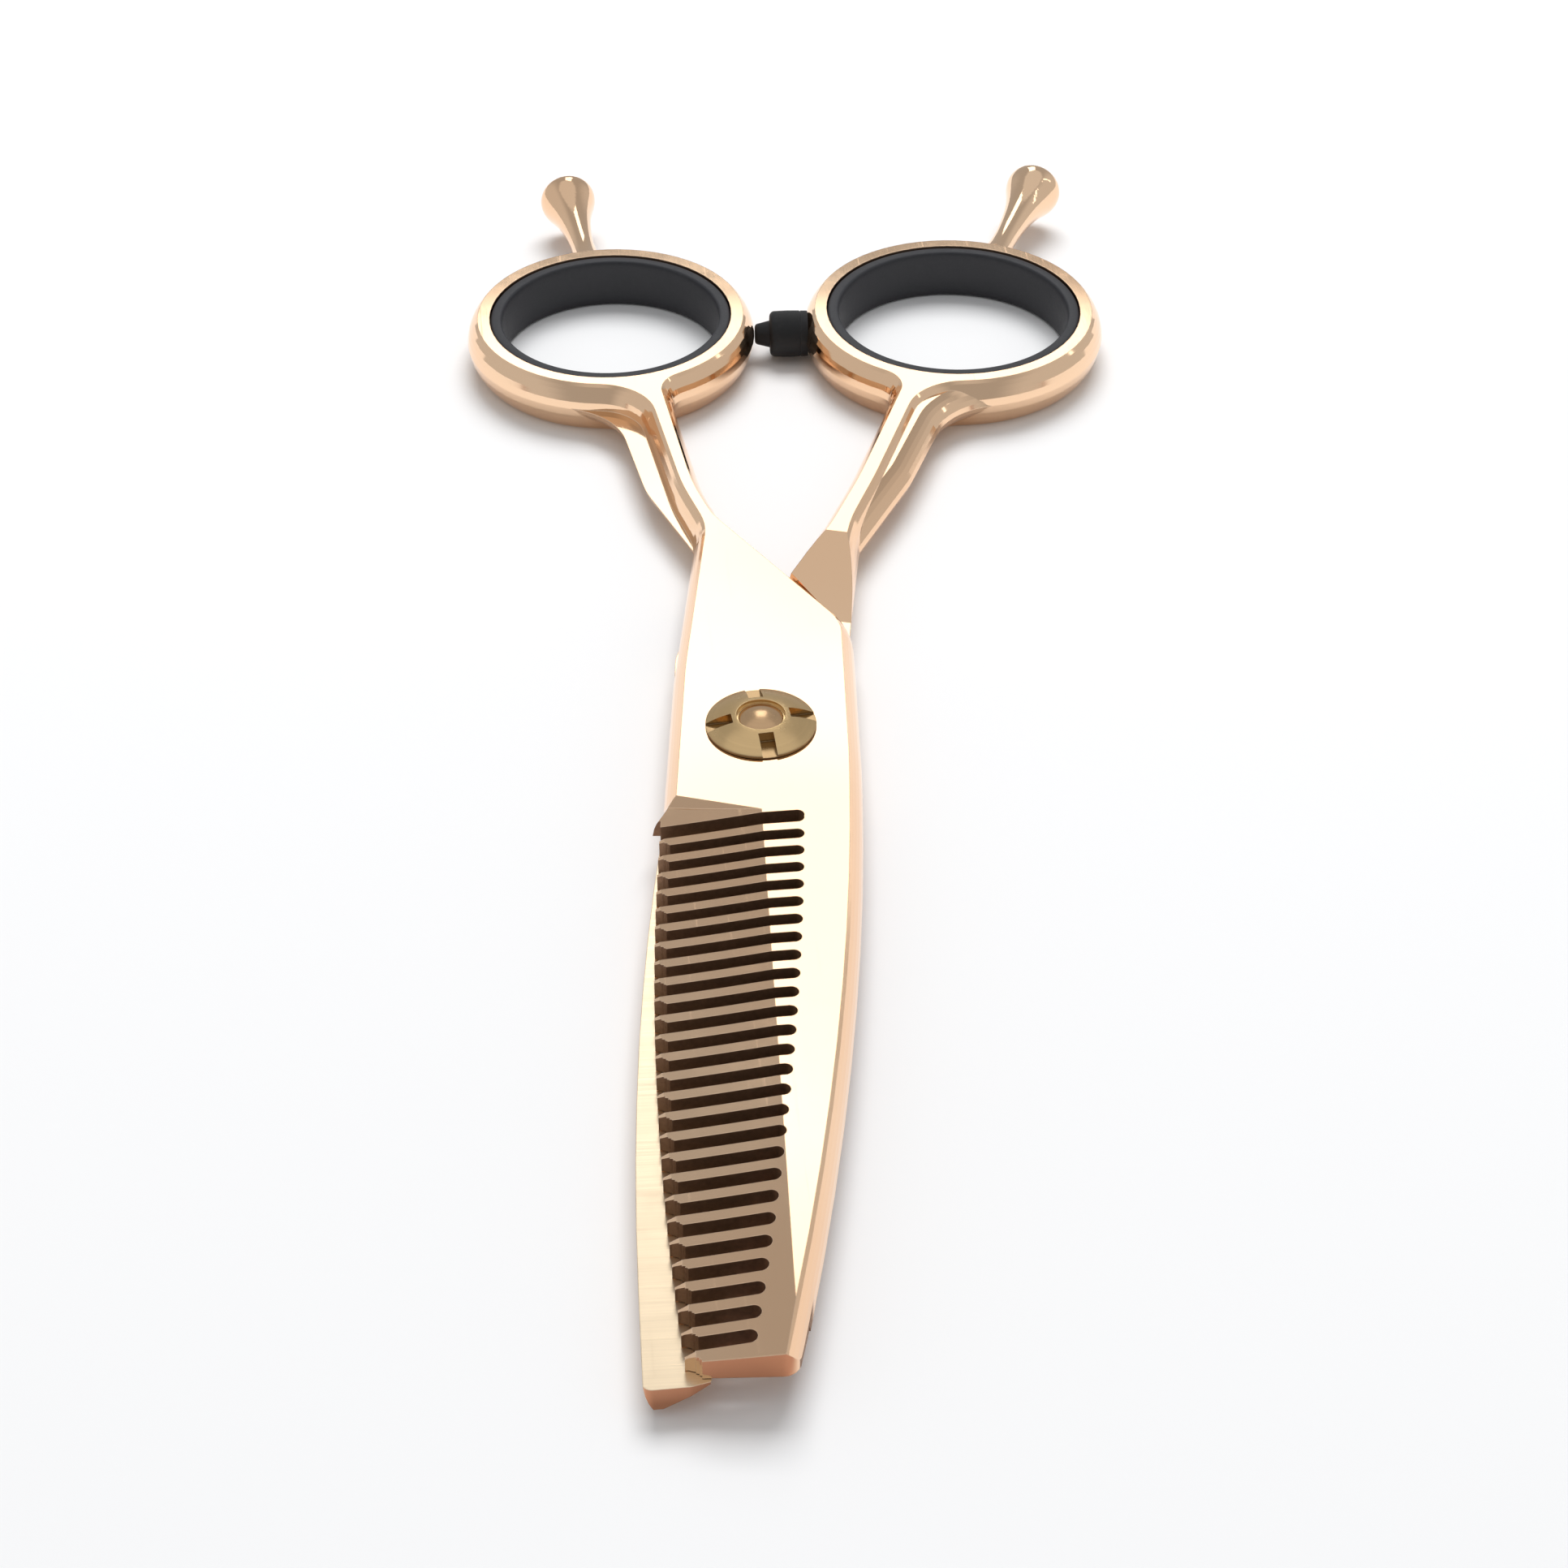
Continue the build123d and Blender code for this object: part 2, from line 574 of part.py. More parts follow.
def make_dial(level):
    """Low domed nut with a thin rim, an eye round the stud end and four slots."""
    shoulder_height = dial_rim_height + 0.8 * (dial_crown - dial_rim_height)
    profile = make_face([
        Line((0, 0), (dial_radius, 0)),
        Line((dial_radius, 0), (dial_radius, dial_rim_height)),
        ThreePointArc((dial_radius, dial_rim_height), (dial_dome_radius, shoulder_height), (0, dial_crown)),
        Line((0, dial_crown), (0, 0)),
    ])
    nut = revolve(Plane.XZ * profile, Axis.Z)
    nut = fillet(nut.edges().filter_by(GeomType.CIRCLE).group_by(Axis.Z)[1], dial_edge_round)
    nut -= Cylinder(thread_radius + running_fit, 4 * dial_crown)
    eye = Circle(dial_eye_radius) - Circle(thread_radius)
    nut -= Pos(0, 0, dial_crown - dial_eye_depth) * extrude(eye, amount=dial_crown)
    nut -= extrude(Circle(lock_ring_radius), amount=lock_ring_height)
    reach = dial_radius - dial_slot_start + 1.0
    notch = extrude(Rectangle(reach, dial_slot_width), amount=2 * dial_crown)
    notch = Pos(dial_slot_start + 0.5 * reach, 0, dial_slot_floor) * notch
    for quarter in range(4):
        nut -= Rot(0, 0, dial_slot_angle + 90.0 * quarter) * notch
    return Pos(0, 0, level) * nut


def make_bumper():
    """Rubber bumper on the plain half's ring; its nose meets the other ring when closed."""
    start = plain_ring_radius - seat_depth
    end = ring_distance - toothed_ring_radius - bumper_clearance
    body_length = end - start - bumper_nose_length
    body = extrude(Circle(bumper_radius), amount=body_length)
    body = fillet(body.edges().group_by(Axis.Z)[-1], bumper_round)
    nose = Cone(bumper_nose_base, bumper_nose_radius, bumper_nose_length)
    nose = Pos(0, 0, body_length + 0.5 * bumper_nose_length) * nose
    nose = fillet(nose.edges().group_by(Axis.Z)[-1], 0.5 * bumper_nose_radius)
    core_depth = bumper_stud_length - rest_stud_depth
    core = Pos(0, 0, -1.0) * extrude(Circle(bumper_stud_radius), amount=1.0 + core_depth)
    place = Plane(origin=along(plain_ring_centre, bumper_axis, start), z_dir=bumper_axis)
    return place * (body + nose - core)


def make_bumper_stud():
    """Threaded stud moulded into the bumper."""
    start = plain_ring_radius - seat_depth - rest_stud_depth
    return cylinder_between(
        along(plain_ring_centre, bumper_axis, start),
        along(plain_ring_centre, bumper_axis, start + bumper_stud_length),
        bumper_stud_radius,
    )


spring_z = top_z - spring_recess_depth + stack_play
thrust_z = spring_z + spring_thickness + stack_play
dial_z = top_z + dial_gap

save("plain_half", make_plain_half())
save("toothed_half", make_toothed_half())
save("plain_ring_insert", liner(plain_ring_centre, plain_ring_bore))
save("toothed_ring_insert", liner(toothed_ring_centre, toothed_ring_bore))
save("plain_finger_rest", finger_rest(
    plain_ring_centre, plain_ring_radius, plain_rest_axis, plain_rest_length))
save("toothed_finger_rest", finger_rest(
    toothed_ring_centre, toothed_ring_radius, toothed_rest_axis, toothed_rest_length))
save("bumper", make_bumper())
save("bumper_stud", make_bumper_stud())
save("pivot_stud", make_pivot_stud())
bush_height = top_z - spring_recess_depth - toothed_face_z
save("pivot_bush", ring_part(bush_radius, stud_radius + running_fit, bush_height, toothed_face_z))
washer_z = plain_face_z - washer_thickness + washer_proud
save("friction_washer", ring_part(washer_radius, stud_radius + running_fit, washer_thickness, washer_z))
save("wave_spring", make_wave_spring(spring_z))
save("thrust_washer", ring_part(
    spring_recess_radius - 0.15, thread_radius + running_fit, thrust_washer_thickness, thrust_z))
save("tension_dial", make_dial(dial_z))
save("dial_lock_ring", ring_part(lock_ring_radius, thread_radius + running_fit, lock_ring_height, dial_z))
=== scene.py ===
import bpy
import bmesh
import math
import numpy as np
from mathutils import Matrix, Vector


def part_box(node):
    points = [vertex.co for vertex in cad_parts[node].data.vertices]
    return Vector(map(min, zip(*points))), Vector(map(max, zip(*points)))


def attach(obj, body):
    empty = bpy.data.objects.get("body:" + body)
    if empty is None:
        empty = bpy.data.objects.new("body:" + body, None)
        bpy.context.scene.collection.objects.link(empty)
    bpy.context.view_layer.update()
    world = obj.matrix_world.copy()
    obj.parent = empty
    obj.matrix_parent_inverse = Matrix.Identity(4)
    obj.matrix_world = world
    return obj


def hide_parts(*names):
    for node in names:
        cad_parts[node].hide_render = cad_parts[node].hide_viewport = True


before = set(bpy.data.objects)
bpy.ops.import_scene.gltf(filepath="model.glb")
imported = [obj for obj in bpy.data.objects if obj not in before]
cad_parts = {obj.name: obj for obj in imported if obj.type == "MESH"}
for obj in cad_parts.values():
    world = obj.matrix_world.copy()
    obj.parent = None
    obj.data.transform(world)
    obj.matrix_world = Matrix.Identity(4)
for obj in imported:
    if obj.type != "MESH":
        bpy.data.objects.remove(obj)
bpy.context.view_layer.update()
mm = 0.001
print("frame loaded:", len(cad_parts), "nodes")

# camera: looks down the shears from in front of the blade tips
cameraSetup = {
    "place": (1.774, -182.6, 146.55),   # mm
    "tiltDeg": 51.06,
    "lensMm": 68.9,
    "sensorMm": 36.0,
    "clip": (0.005, 20.0),              # m
}


def makeCamera(setup):
    data = bpy.data.cameras.new("camera")
    data.lens = setup["lensMm"]
    data.sensor_width = setup["sensorMm"]
    data.clip_start, data.clip_end = setup["clip"]
    cam = bpy.data.objects.new("camera", data)
    cam.location = Vector(setup["place"]) * mm
    cam.rotation_euler = (math.radians(setup["tiltDeg"]), 0.0, 0.0)
    bpy.context.scene.collection.objects.link(cam)
    bpy.context.scene.camera = cam


makeCamera(cameraSetup)
print("camera set")

# node helpers


def addNode(tree, kind, place=(0, 0), **settings):
    node = tree.nodes.new(kind)
    node.location = place
    for key, value in settings.items():
        setattr(node, key, value)
    return node


def mathNode(tree, operation, a, b=None, c=None, clamp=False):
    node = addNode(tree, "ShaderNodeMath", operation=operation, use_clamp=clamp)
    for slot, value in zip(range(3), (a, b, c)):
        if value is None:
            continue
        if isinstance(value, (int, float)):
            node.inputs[slot].default_value = value
        else:
            tree.links.new(value, node.inputs[slot])
    return node.outputs[0]


def ramp(tree, value, low, high, outLow=0.0, outHigh=1.0, smooth=True):
    node = addNode(tree, "ShaderNodeMapRange", interpolation_type="SMOOTHSTEP" if smooth else "LINEAR")
    for slot, amount in (("From Min", low), ("From Max", high), ("To Min", outLow), ("To Max", outHigh)):
        if isinstance(amount, (int, float)):
            node.inputs[slot].default_value = amount
        else:
            tree.links.new(amount, node.inputs[slot])
    tree.links.new(value, node.inputs["Value"])
    return node.outputs["Result"]


def mixColour(tree, factor, first, second, blend="MIX"):
    node = addNode(tree, "ShaderNodeMix", data_type="RGBA", blend_type=blend)
    slots = (node.inputs[0], node.inputs[6], node.inputs[7])
    for slot, value in zip(slots, (factor, first, second)):
        if isinstance(value, (int, float)):
            slot.default_value = value
        elif isinstance(value, tuple):
            slot.default_value = (*value, 1.0)
        else:
            tree.links.new(value, slot)
    return node.outputs[2]


def coordinates(tree):
    return addNode(tree, "ShaderNodeTexCoord")


def split(tree, vector):
    node = addNode(tree, "ShaderNodeSeparateXYZ")
    tree.links.new(vector, node.inputs[0])
    return node.outputs


# studio: pale floor, even surroundings, one tall bright panel that the flat lands mirror
studio = {
    "floorHalf": 3.0,                     # m
    "floorColour": (0.87, 0.875, 0.885),
    "floorRough": 0.9,
    "floorSheen": 0.1,
    "floorPaintedReflection": (0.97, 0.95, 0.95),  # painted reflection: the floor as the steel sees it, brighter than the floor's own colour
    "floorPaintedShadeReflection": (0.55, 0.36, 0.31),   # painted shade in the reflection: the same, darker and reddish in front of the tips
    "paintedShadeEdge": (-0.0645, -0.0605),        # m, where one tone gives way to the other: the painted shade in front, the brighter painted reflection behind
    "surround": 0.47,                     # brightness of the surroundings
    "surroundHigh": 0.26,                 # added high up
    "highBand": (0.78, 0.85),             # upward part of the direction where that comes in
    "surroundSides": 0.2,                 # added to the left and right
    "sideBand": (0.45, 0.8),              # sideways part of the direction where that comes in
    "surroundOnFloor": 0.75,              # share of the surroundings that lights matt surfaces
    "tallPanel": {"bearingDeg": 0.0, "heightDeg": 39.8, "distance": 1.0, "size": (0.26, 0.41),
                  "glow": 2.0, "colour": (1.0, 0.985, 0.95)},
    "sideStrip": {"bearingDeg": 70.0, "heightDeg": 35.0, "distance": 1.1, "size": (0.05, 0.5),
                  "glow": 1.6, "colour": (1.0, 0.97, 0.93)},
    "backSoft": {"place": (0.05, 0.62, 0.95), "size": (0.8, 0.6), "watts": 9.9},
    "overhead": {"place": (0.1, -0.1, 1.3), "size": (1.2, 1.2), "watts": 1.2},
}


def makePrincipled(name):
    mat = bpy.data.materials.new(name)
    mat.use_nodes = True
    return mat, mat.node_tree, mat.node_tree.nodes["Principled BSDF"]


def makeFloor(setup):
    half = setup["floorHalf"]
    mesh = bpy.data.meshes.new("studio_floor")
    corners = [(-half, -half, 0), (half, -half, 0), (half, half, 0), (-half, half, 0)]
    mesh.from_pydata(corners, [], [(0, 1, 2, 3)])
    floor = bpy.data.objects.new("studio_floor", mesh)
    bpy.context.scene.collection.objects.link(floor)
    mat, tree, shader = makePrincipled("floor_white")
    # painted reflection: glossy rays see the floor in a brighter tone, and darker in front of the tips as
    # painted shade
    path = addNode(tree, "ShaderNodeLightPath")
    along = split(tree, coordinates(tree).outputs["Object"])[1]
    front = ramp(tree, along, setup["paintedShadeEdge"][0], setup["paintedShadeEdge"][1])
    paintedReflection = mixColour(tree, front, setup["floorPaintedShadeReflection"], setup["floorPaintedReflection"])
    tone = mixColour(tree, path.outputs["Is Glossy Ray"], setup["floorColour"], paintedReflection)
    tree.links.new(tone, shader.inputs["Base Color"])
    shader.inputs["Roughness"].default_value = setup["floorRough"]
    shader.inputs["Specular IOR Level"].default_value = setup["floorSheen"]
    mesh.materials.append(mat)


def areaLight(name, place, target, size, watts, colour):
    data = bpy.data.lights.new(name, "AREA")
    data.shape = "RECTANGLE"
    data.size, data.size_y = size
    data.energy = watts
    data.color = colour
    lamp = bpy.data.objects.new(name, data)
    lamp.location = place
    lamp.rotation_euler = (Vector(target) - Vector(place)).to_track_quat("-Z", "Y").to_euler()
    bpy.context.scene.collection.objects.link(lamp)
    return lamp


def panelLight(name, spec):
    # radiance of a panel = watts / (pi * area)
    bearing = math.radians(spec["bearingDeg"])
    height = math.radians(spec["heightDeg"])
    reach = spec["distance"]
    place = (reach * math.sin(bearing) * math.cos(height), reach * math.cos(bearing) * math.cos(height),
             reach * math.sin(height))
    watts = spec["glow"] * math.pi * spec["size"][0] * spec["size"][1]
    return areaLight(name, place, (0, 0, 0), spec["size"], watts, spec["colour"])


def makeWorld(setup):
    # even grey, brighter overhead and to both sides
    world = bpy.data.worlds.new("studio_world")
    world.use_nodes = True
    tree = world.node_tree
    way = split(tree, coordinates(tree).outputs["Generated"])
    high = ramp(tree, way[2], *setup["highBand"])
    sides = ramp(tree, mathNode(tree, "ABSOLUTE", way[0]), *setup["sideBand"])
    glow = mathNode(tree, "MULTIPLY_ADD", high, setup["surroundHigh"], setup["surround"])
    glow = mathNode(tree, "MULTIPLY_ADD", sides, setup["surroundSides"], glow)
    path = addNode(tree, "ShaderNodeLightPath")
    matt = path.outputs["Is Diffuse Ray"]
    share = ramp(tree, matt, 0.0, 1.0, 1.0, setup["surroundOnFloor"], smooth=False)
    glow = mathNode(tree, "MULTIPLY", glow, share)
    tree.links.new(glow, tree.nodes["Background"].inputs["Strength"])
    tree.nodes["Background"].inputs["Color"].default_value = (1.0, 1.0, 1.0, 1.0)
    bpy.context.scene.world = world


def makeStudio(setup):
    makeFloor(setup)
    makeWorld(setup)
    panelLight("tall_panel", setup["tallPanel"])
    panelLight("side_strip", setup["sideStrip"])
    for name in ("backSoft", "overhead"):
        spec = setup[name]
        lamp = areaLight(name, spec["place"], (0, 0, 0), spec["size"], spec["watts"], (1.0, 1.0, 1.0))
        lamp.visible_glossy = False      # lights the floor, stays out of the mirror faces
    bpy.context.scene.view_settings.view_transform = "Standard"


makeStudio(studio)
print("studio lit")


def newGroup(name, inputs, outputs):
    group = bpy.data.node_groups.new(name, "ShaderNodeTree")
    for socketName, kind, value in inputs:
        socket = group.interface.new_socket(name=socketName, in_out="INPUT", socket_type=kind)
        if value is not None:
            socket.default_value = value
    for socketName, kind in outputs:
        group.interface.new_socket(name=socketName, in_out="OUTPUT", socket_type=kind)
    return group, addNode(group, "NodeGroupInput", (-900, 0)), addNode(group, "NodeGroupOutput", (700, 0))


def useGroup(tree, group, **values):
    node = addNode(tree, "ShaderNodeGroup", node_tree=group)
    for key, value in values.items():
        slot = node.inputs[key]
        if isinstance(value, (int, float, tuple)):
            slot.default_value = value
        else:
            tree.links.new(value, slot)
    return node


def noise(tree, vector, scale, detail=3.0, roughness=0.55):
    node = addNode(tree, "ShaderNodeTexNoise")
    tree.links.new(vector, node.inputs["Vector"])
    if isinstance(scale, (int, float)):
        node.inputs["Scale"].default_value = scale
    else:
        tree.links.new(scale, node.inputs["Scale"])
    node.inputs["Detail"].default_value = detail
    node.inputs["Roughness"].default_value = roughness
    return node.outputs["Fac"]


def stretchGroup():
    # fine marks drawn out along one direction: noise on coordinates squeezed along it, turned to lie on it
    group, ins, outs = newGroup(
        "fine_marks",
        [("Vector", "NodeSocketVector", None), ("Turn", "NodeSocketFloat", 0.0),
         ("Fineness", "NodeSocketFloat", 9000.0), ("Draw", "NodeSocketFloat", 0.02)],
        [("Marks", "NodeSocketFloat"), ("Scratches", "NodeSocketFloat")],
    )
    rotate = addNode(group, "ShaderNodeVectorRotate", rotation_type="Z_AXIS")
    group.links.new(ins.outputs["Vector"], rotate.inputs["Vector"])
    group.links.new(ins.outputs["Turn"], rotate.inputs["Angle"])
    squeeze = addNode(group, "ShaderNodeCombineXYZ")
    group.links.new(ins.outputs["Draw"], squeeze.inputs["X"])
    squeeze.inputs["Y"].default_value = 1.0
    squeeze.inputs["Z"].default_value = 1.0
    scaled = addNode(group, "ShaderNodeVectorMath", operation="MULTIPLY")
    group.links.new(rotate.outputs[0], scaled.inputs[0])
    group.links.new(squeeze.outputs[0], scaled.inputs[1])
    marks = noise(group, scaled.outputs[0], ins.outputs["Fineness"], 3.0, 0.65)
    group.links.new(marks, outs.inputs["Marks"])
    wide = mathNode(group, "MULTIPLY", ins.outputs["Fineness"], 0.22)
    rare = noise(group, scaled.outputs[0], wide, 2.0, 0.8)
    group.links.new(ramp(group, rare, 0.64, 0.7), outs.inputs["Scratches"])
    return group


def smudgeGroup():
    # soft clouds of handling marks, broken up by a finer cloud
    group, ins, outs = newGroup(
        "handling_smudges",
        [("Vector", "NodeSocketVector", None), ("Size", "NodeSocketFloat", 120.0),
         ("Low", "NodeSocketFloat", 0.45), ("High", "NodeSocketFloat", 0.7)],
        [("Mask", "NodeSocketFloat"), ("Tone", "NodeSocketFloat")],
    )
    broad = noise(group, ins.outputs["Vector"], ins.outputs["Size"], 4.0, 0.6)
    fineScale = mathNode(group, "MULTIPLY", ins.outputs["Size"], 9.0)
    fine = noise(group, ins.outputs["Vector"], fineScale, 2.0, 0.6)
    mixed = mathNode(group, "MULTIPLY_ADD", fine, 0.25, mathNode(group, "MULTIPLY", broad, 0.8))
    group.links.new(ramp(group, mixed, ins.outputs["Low"], ins.outputs["High"]), outs.inputs["Mask"])
    toneScale = mathNode(group, "MULTIPLY", ins.outputs["Size"], 0.35)
    group.links.new(noise(group, ins.outputs["Vector"], toneScale, 1.0, 0.5), outs.inputs["Tone"])
    return group


def edgeGroup():
    # worn and broken edges: where the rounded-over normal leaves the face's own normal
    group, ins, outs = newGroup(
        "edge_wear",
        [("Vector", "NodeSocketVector", None), ("Width", "NodeSocketFloat", 0.0001),
         ("Chatter", "NodeSocketFloat", 1500.0)],
        [("Mask", "NodeSocketFloat"), ("Normal", "NodeSocketVector")],
    )
    bevel = addNode(group, "ShaderNodeBevel", samples=4)
    group.links.new(ins.outputs["Width"], bevel.inputs["Radius"])
    own = addNode(group, "ShaderNodeNewGeometry")
    facing = addNode(group, "ShaderNodeVectorMath", operation="DOT_PRODUCT")
    group.links.new(bevel.outputs[0], facing.inputs[0])
    group.links.new(own.outputs["Normal"], facing.inputs[1])
    corner = ramp(group, facing.outputs["Value"], 0.995, 0.9)
    chips = noise(group, ins.outputs["Vector"], ins.outputs["Chatter"], 3.0, 0.7)
    uneven = ramp(group, chips, 0.35, 0.65, 0.35, 1.0)
    group.links.new(mathNode(group, "MULTIPLY", corner, uneven, clamp=True), outs.inputs["Mask"])
    group.links.new(bevel.outputs[0], outs.inputs["Normal"])
    return group


fineMarks = stretchGroup()
handlingSmudges = smudgeGroup()
edgeWear = edgeGroup()
print("shader groups built")

steelLook = {
    "rose": (0.86, 0.615, 0.415),
    "roseDeep": (0.83, 0.56, 0.36),
    "edgeTone": (0.93, 0.72, 0.55),
    "toneBand": (0.35, 0.65),
    "polish": 0.045,
    "markFineness": 9000.0,
    "markDraw": 0.03,            # share of the fineness kept along the marks
    "markRough": 0.05,
    "markBump": 0.012,
    "markDepth": 0.00002,        # m
    "scratchRough": 0.05,
    "scratchDepth": -0.5,        # against the marks
    "smudgeSize": 90.0,
    "smudgeBand": (0.5, 0.75),
    "smudgeRough": 0.05,
    "edgeShare": 0.7,
    "edgeRough": 0.16,
    "edgeWidth": 0.00009,        # m, how far an edge is broken
    "edgeChatter": 1800.0,
}

# painted shade: the slot walls take a dark brown tone for the shade between the teeth; their grain and
# roughness are their own
combShadeLook = {
    "box": ((-9.5, 3.5), (-61.6, -10.0)),   # mm, x and y range of the comb
    "soft": 0.0002,              # m
    "tone": (0.36, 0.22, 0.14),
    "deep": 0.55,                # the darker grain, against the tone
    "rough": 0.5,
    "grain": 2600.0,
    "upright": (0.35, 0.2),      # steepness of a wall, by the upward part of its normal
}

# painted highlight: the ride face's tone is lighter than the steel for its bright reflection; the ground
# lines and roughness are its own
ridePaintedHighlightLook = {
    "tone": (0.97, 0.80, 0.58),
    "deep": 0.82,
    "rough": 0.14,
    "lineRough": 0.2,
    "lineFineness": 7000.0,
    "lineDraw": 0.012,
    "lineTurnDeg": -4.0,
    "level": (2.45, 2.7),        # mm above the floor
    "levelSoft": 0.00005,        # m
    "facingUp": (0.8, 0.95),
    "starts": (-8.0, -9.0),      # mm along the blade
}


def window(tree, value, low, high, soft):
    # one between low and high, falling off over soft at each end
    up = ramp(tree, value, low - soft, low)
    down = ramp(tree, value, high, high + soft, 1.0, 0.0)
    return mathNode(tree, "MULTIPLY", up, down)


def bumped(tree, height, strength, distance, normal=None):
    node = addNode(tree, "ShaderNodeBump")
    node.inputs["Strength"].default_value = strength
    node.inputs["Distance"].default_value = distance
    tree.links.new(height, node.inputs["Height"])
    if normal is not None:
        tree.links.new(normal, node.inputs["Normal"])
    return node.outputs["Normal"]


def darker(tone, share):
    return tuple(share * c for c in tone)


def slotWallsPaintedShade(tree, where, colour, rough, look):
    # upright walls of the slots, cut and left unpolished, so rougher; their dark brown colour is painted
    # shade between the teeth
    place = where.outputs["Object"]
    xyz = split(tree, place)
    facing = split(tree, where.outputs["Normal"])
    (x0, x1), (y0, y1) = look["box"]
    inside = mathNode(tree, "MULTIPLY", window(tree, xyz[0], x0 * mm, x1 * mm, look["soft"]),
                      window(tree, xyz[1], y0 * mm, y1 * mm, look["soft"]))
    upright = ramp(tree, mathNode(tree, "ABSOLUTE", facing[2]), *look["upright"])
    shadedWalls = mathNode(tree, "MULTIPLY", inside, upright)
    grain = noise(tree, place, look["grain"], 3.0, 0.7)
    tone = mixColour(tree, grain, look["tone"], darker(look["tone"], look["deep"]))
    return mixColour(tree, shadedWalls, colour, tone), mathNode(tree, "MULTIPLY_ADD", shadedWalls, look["rough"], rough)


def groundRidePaintedHighlight(tree, where, colour, rough, look):
    # ground inner face of the plain blade: fine lines across the blade, and a tone lighter than the steel as
    # painted highlight
    place = where.outputs["Object"]
    xyz = split(tree, place)
    facing = split(tree, where.outputs["Normal"])
    low, high = look["level"]
    start, full = look["starts"]
    level = window(tree, xyz[2], low * mm, high * mm, look["levelSoft"])
    flat = mathNode(tree, "MULTIPLY", ramp(tree, facing[2], *look["facingUp"]), level)
    ground = mathNode(tree, "MULTIPLY", flat, ramp(tree, xyz[1], start * mm, full * mm))
    lines = useGroup(tree, fineMarks, Vector=place, Turn=math.radians(look["lineTurnDeg"]),
                     Fineness=look["lineFineness"], Draw=look["lineDraw"])
    tone = mixColour(tree, lines.outputs["Marks"], look["tone"], darker(look["tone"], look["deep"]))
    lineRough = mathNode(tree, "MULTIPLY_ADD", lines.outputs["Marks"], look["lineRough"], look["rough"])
    return mixColour(tree, ground, colour, tone), mathNode(tree, "MULTIPLY_ADD", ground, lineRough, rough)


def polishedSteel(name, look, turnDeg, comb=None, ride=None):
    mat, tree, shader = makePrincipled(name)
    where = coordinates(tree)
    place = where.outputs["Object"]
    marks = useGroup(tree, fineMarks, Vector=place, Turn=math.radians(turnDeg),
                     Fineness=look["markFineness"], Draw=look["markDraw"])
    low, high = look["smudgeBand"]
    cloud = useGroup(tree, handlingSmudges, Vector=place, Size=look["smudgeSize"], Low=low, High=high)
    edge = useGroup(tree, edgeWear, Vector=place, Width=look["edgeWidth"], Chatter=look["edgeChatter"])
    shade = ramp(tree, cloud.outputs["Tone"], *look["toneBand"])
    colour = mixColour(tree, shade, look["rose"], look["roseDeep"])
    worn = mathNode(tree, "MULTIPLY", edge.outputs["Mask"], look["edgeShare"])
    colour = mixColour(tree, worn, colour, look["edgeTone"])
    rough = mathNode(tree, "MULTIPLY_ADD", cloud.outputs["Mask"], look["smudgeRough"], look["polish"])
    rough = mathNode(tree, "MULTIPLY_ADD", marks.outputs["Marks"], look["markRough"], rough)
    rough = mathNode(tree, "MULTIPLY_ADD", marks.outputs["Scratches"], look["scratchRough"], rough)
    rough = mathNode(tree, "MULTIPLY_ADD", edge.outputs["Mask"], look["edgeRough"], rough)
    # the comb's slot walls get their painted shade here
    if comb:
        colour, rough = slotWallsPaintedShade(tree, where, colour, rough, comb)
    if ride:
        colour, rough = groundRidePaintedHighlight(tree, where, colour, rough, ride)
    scratched = mathNode(tree, "MULTIPLY_ADD", marks.outputs["Scratches"], look["scratchDepth"],
                         marks.outputs["Marks"])
    relief = bumped(tree, scratched, look["markBump"], look["markDepth"], edge.outputs["Normal"])
    tree.links.new(colour, shader.inputs["Base Color"])
    tree.links.new(rough, shader.inputs["Roughness"])
    tree.links.new(relief, shader.inputs["Normal"])
    shader.inputs["Metallic"].default_value = 1.0
    return mat


dialLook = {
    "gold": (0.78, 0.55, 0.28),
    "goldWorn": (0.86, 0.65, 0.38),
    "studGold": (0.70, 0.46, 0.26),
    # painted shade: the low parts of the dial, its slot floors, are darkened for the shade there
    "dialShade": (0.20, 0.13, 0.07),
    "dialShadeTop": 5.2,            # mm above the floor, where the painted shade starts
    "dialShadeFull": 5.02,
    "dialShadeShare": 0.75,
    "satin": 0.17,
    "smudgeSize": 420.0,
    "smudgeRough": 0.08,
    "ringStep": 0.3,             # how much height counts against radius in the rings
    "ringShare": 0.6,
    "ringDeep": 0.72,
    "ringRough": 0.07,
    "ringBump": 0.025,
    "edgeWidth": 0.00007,
    "edgeChatter": 2500.0,
}


